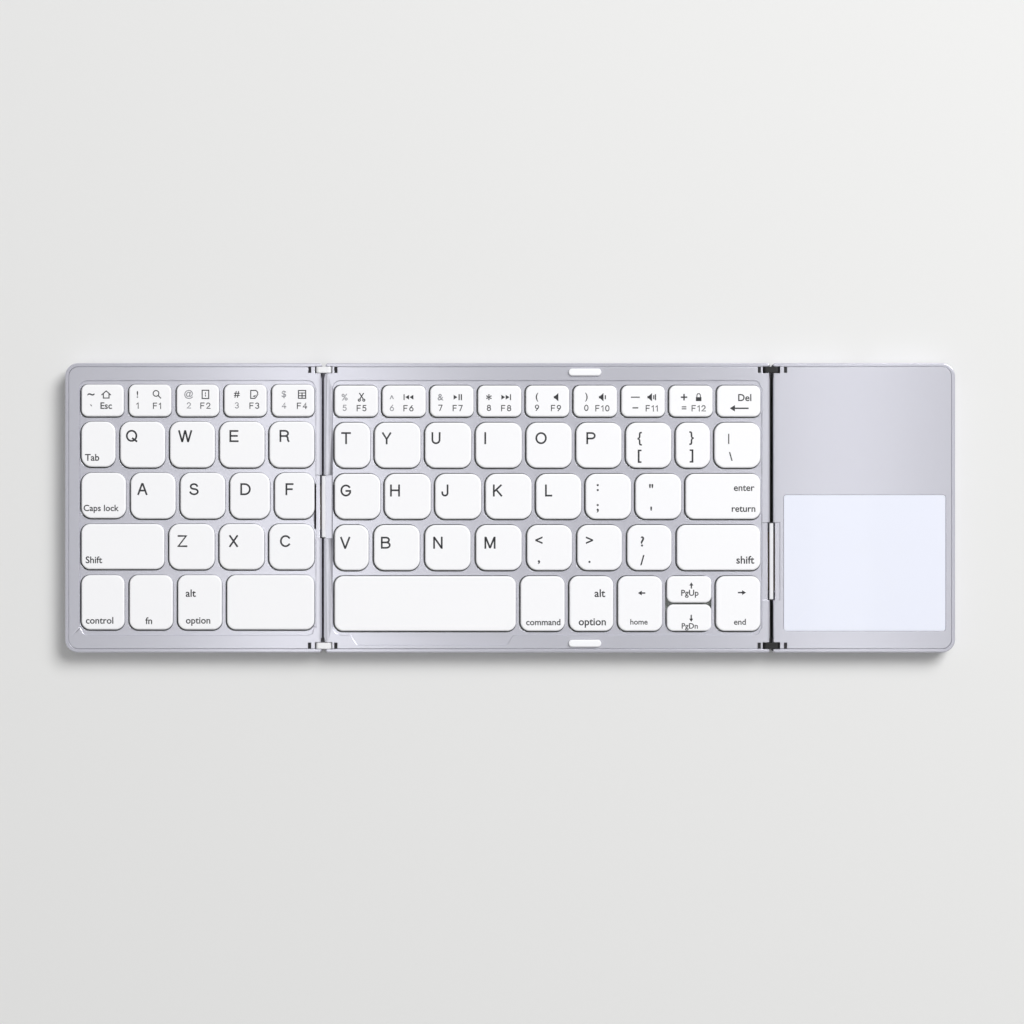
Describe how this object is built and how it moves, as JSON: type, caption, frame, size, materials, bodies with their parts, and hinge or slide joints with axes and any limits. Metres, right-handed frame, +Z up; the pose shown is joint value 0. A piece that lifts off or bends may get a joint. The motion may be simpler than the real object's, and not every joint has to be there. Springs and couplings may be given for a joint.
{
  "type": "folding keyboard",
  "caption": "Flat keyboard in three panels with low keys and a touchpad; both side panels fold over the middle one on paired pins.",
  "frame": {"origin": "middle of the footprint of the open keyboard, on the surface that its feet stand on", "axes": "+X along the three panels to the right, +Y to the rear row of keys, +Z up from the deck"},
  "size_m": [0.3046, 0.099, 0.0084],
  "materials": {
    "tray_silver": "fine satin paint",
    "deck_silver": "fine satin paint",
    "keycap_white": "fine matt",
    "steel": "satin",
    "screw_steel": "zinc plated",
    "black_steel": "black coat",
    "membrane_film": "film",
    "dome_silicone": "translucent silicone",
    "lift_plastic": "moulded",
    "foot_rubber": "matt",
    "pad_rubber": "matt",
    "touch_surface": "satin",
    "board_green": "solder mask",
    "battery_foil": "foil pouch",
    "cover_white": "moulded",
    "flex_film": "polyimide"
  },
  "bodies": {
    "middle_panel": {"middle_base": "tray_silver", "middle_frame": "deck_silver", "middle_key_plate": "steel", "middle_membrane": "membrane_film", "middle_domes": "dome_silicone", "middle_scissors": "lift_plastic", "bumper_pads": "pad_rubber", "middle_feet": "foot_rubber", "middle_screws": "screw_steel", "middle_hinge_brackets": "black_steel"},
    "left_panel": {"left_base": "tray_silver", "left_frame": "deck_silver", "left_key_plate": "steel", "left_membrane": "membrane_film", "left_domes": "dome_silicone", "left_scissors": "lift_plastic", "left_feet": "foot_rubber", "left_screws": "screw_steel", "left_hinge_brackets": "black_steel"},
    "right_panel": {"right_base": "tray_silver", "right_frame": "deck_silver", "touchpad": "touch_surface", "touchpad_board": "board_green", "main_board": "board_green", "battery": "battery_foil", "charging_socket": "steel", "right_feet": "foot_rubber", "right_screws": "screw_steel", "right_hinge_brackets": "black_steel"},
    "left_link_pair": {"left_links": "steel", "left_hinge_pins": "steel", "left_cable_cover": "cover_white", "left_flex": "flex_film"},
    "right_link_pair": {"right_links": "black_steel", "right_hinge_pins": "steel", "right_cable_cover": "cover_white", "right_flex": "flex_film"},
    "left_number_keys": {"left_number_keys": "keycap_white"},
    "left_tab_key": {"left_tab_key": "keycap_white"},
    "left_upper_letter_keys": {"left_upper_letter_keys": "keycap_white"},
    "left_caps_key": {"left_caps_key": "keycap_white"},
    "left_home_letter_keys": {"left_home_letter_keys": "keycap_white"},
    "left_shift_key": {"left_shift_key": "keycap_white"},
    "left_lower_letter_keys": {"left_lower_letter_keys": "keycap_white"},
    "left_modifier_keys": {"left_modifier_keys": "keycap_white"},
    "left_space_key": {"left_space_key": "keycap_white"},
    "middle_number_keys": {"middle_number_keys": "keycap_white"},
    "delete_key": {"delete_key": "keycap_white"},
    "middle_upper_letter_keys": {"middle_upper_letter_keys": "keycap_white"},
    "middle_home_letter_keys": {"middle_home_letter_keys": "keycap_white"},
    "enter_key": {"enter_key": "keycap_white"},
    "middle_lower_letter_keys": {"middle_lower_letter_keys": "keycap_white"},
    "right_shift_key": {"right_shift_key": "keycap_white"},
    "space_key": {"space_key": "keycap_white"},
    "right_modifier_keys": {"right_modifier_keys": "keycap_white"},
    "left_arrow_key": {"left_arrow_key": "keycap_white"},
    "up_arrow_key": {"up_arrow_key": "keycap_white"},
    "down_arrow_key": {"down_arrow_key": "keycap_white"},
    "right_arrow_key": {"right_arrow_key": "keycap_white"}
  },
  "joints": [
    {"name": "fold_left_inner", "type": "hinge", "parent": "middle_panel", "child": "left_link_pair", "pos_m": [-0.06215, 0, 0.00635], "axis": [0, 1, 0], "range_deg": [0, 90], "deforming": ["left_flex"]},
    {"name": "fold_left_outer", "type": "hinge", "parent": "left_link_pair", "child": "left_panel", "pos_m": [-0.06545, 0, 0.00635], "axis": [0, 1, 0], "range_deg": [0, 90], "deforming": ["left_flex"]},
    {"name": "fold_right_inner", "type": "hinge", "parent": "middle_panel", "child": "right_link_pair", "pos_m": [0.0877, 0, 0.00635], "axis": [0, -1, 0], "range_deg": [0, 90], "deforming": ["right_flex"]},
    {"name": "fold_right_outer", "type": "hinge", "parent": "right_link_pair", "child": "right_panel", "pos_m": [0.091, 0, 0.00635], "axis": [0, -1, 0], "range_deg": [0, 90], "deforming": ["right_flex"]},
    {"name": "key_left_number", "type": "slide", "parent": "left_panel", "child": "left_number_keys", "axis": [0, 0, -1], "range_m": [0, 0.0013], "stiffness_N_per_m": 1500, "deforming": ["left_domes", "left_scissors"]},
    {"name": "key_left_tab", "type": "slide", "parent": "left_panel", "child": "left_tab_key", "axis": [0, 0, -1], "range_m": [0, 0.0013], "stiffness_N_per_m": 300, "deforming": ["left_domes", "left_scissors"]},
    {"name": "key_left_upper_letter", "type": "slide", "parent": "left_panel", "child": "left_upper_letter_keys", "axis": [0, 0, -1], "range_m": [0, 0.0013], "stiffness_N_per_m": 1200, "deforming": ["left_domes", "left_scissors"]},
    {"name": "key_left_caps", "type": "slide", "parent": "left_panel", "child": "left_caps_key", "axis": [0, 0, -1], "range_m": [0, 0.0013], "stiffness_N_per_m": 300, "deforming": ["left_domes", "left_scissors"]},
    {"name": "key_left_home_letter", "type": "slide", "parent": "left_panel", "child": "left_home_letter_keys", "axis": [0, 0, -1], "range_m": [0, 0.0013], "stiffness_N_per_m": 1200, "deforming": ["left_domes", "left_scissors"]},
    {"name": "key_left_shift", "type": "slide", "parent": "left_panel", "child": "left_shift_key", "axis": [0, 0, -1], "range_m": [0, 0.0013], "stiffness_N_per_m": 300, "deforming": ["left_domes", "left_scissors"]},
    {"name": "key_left_lower_letter", "type": "slide", "parent": "left_panel", "child": "left_lower_letter_keys", "axis": [0, 0, -1], "range_m": [0, 0.0013], "stiffness_N_per_m": 900, "deforming": ["left_domes", "left_scissors"]},
    {"name": "key_left_modifier", "type": "slide", "parent": "left_panel", "child": "left_modifier_keys", "axis": [0, 0, -1], "range_m": [0, 0.0013], "stiffness_N_per_m": 900, "deforming": ["left_domes", "left_scissors"]},
    {"name": "key_left_space", "type": "slide", "parent": "left_panel", "child": "left_space_key", "axis": [0, 0, -1], "range_m": [0, 0.0013], "stiffness_N_per_m": 300, "deforming": ["left_domes", "left_scissors"]},
    {"name": "key_middle_number", "type": "slide", "parent": "middle_panel", "child": "middle_number_keys", "axis": [0, 0, -1], "range_m": [0, 0.0013], "stiffness_N_per_m": 2400, "deforming": ["middle_domes", "middle_scissors"]},
    {"name": "key_delete", "type": "slide", "parent": "middle_panel", "child": "delete_key", "axis": [0, 0, -1], "range_m": [0, 0.0013], "stiffness_N_per_m": 300, "deforming": ["middle_domes", "middle_scissors"]},
    {"name": "key_middle_upper_letter", "type": "slide", "parent": "middle_panel", "child": "middle_upper_letter_keys", "axis": [0, 0, -1], "range_m": [0, 0.0013], "stiffness_N_per_m": 2700, "deforming": ["middle_domes", "middle_scissors"]},
    {"name": "key_middle_home_letter", "type": "slide", "parent": "middle_panel", "child": "middle_home_letter_keys", "axis": [0, 0, -1], "range_m": [0, 0.0013], "stiffness_N_per_m": 2100, "deforming": ["middle_domes", "middle_scissors"]},
    {"name": "key_enter", "type": "slide", "parent": "middle_panel", "child": "enter_key", "axis": [0, 0, -1], "range_m": [0, 0.0013], "stiffness_N_per_m": 300, "deforming": ["middle_domes", "middle_scissors"]},
    {"name": "key_middle_lower_letter", "type": "slide", "parent": "middle_panel", "child": "middle_lower_letter_keys", "axis": [0, 0, -1], "range_m": [0, 0.0013], "stiffness_N_per_m": 2100, "deforming": ["middle_domes", "middle_scissors"]},
    {"name": "key_right_shift", "type": "slide", "parent": "middle_panel", "child": "right_shift_key", "axis": [0, 0, -1], "range_m": [0, 0.0013], "stiffness_N_per_m": 300, "deforming": ["middle_domes", "middle_scissors"]},
    {"name": "key_space", "type": "slide", "parent": "middle_panel", "child": "space_key", "axis": [0, 0, -1], "range_m": [0, 0.0013], "stiffness_N_per_m": 300, "deforming": ["middle_domes", "middle_scissors"]},
    {"name": "key_right_modifier", "type": "slide", "parent": "middle_panel", "child": "right_modifier_keys", "axis": [0, 0, -1], "range_m": [0, 0.0013], "stiffness_N_per_m": 600, "deforming": ["middle_domes", "middle_scissors"]},
    {"name": "key_left_arrow", "type": "slide", "parent": "middle_panel", "child": "left_arrow_key", "axis": [0, 0, -1], "range_m": [0, 0.0013], "stiffness_N_per_m": 300, "deforming": ["middle_domes", "middle_scissors"]},
    {"name": "key_up_arrow", "type": "slide", "parent": "middle_panel", "child": "up_arrow_key", "axis": [0, 0, -1], "range_m": [0, 0.0013], "stiffness_N_per_m": 300, "deforming": ["middle_domes", "middle_scissors"]},
    {"name": "key_down_arrow", "type": "slide", "parent": "middle_panel", "child": "down_arrow_key", "axis": [0, 0, -1], "range_m": [0, 0.0013], "stiffness_N_per_m": 300, "deforming": ["middle_domes", "middle_scissors"]},
    {"name": "key_right_arrow", "type": "slide", "parent": "middle_panel", "child": "right_arrow_key", "axis": [0, 0, -1], "range_m": [0, 0.0013], "stiffness_N_per_m": 300, "deforming": ["middle_domes", "middle_scissors"]}
  ]
}
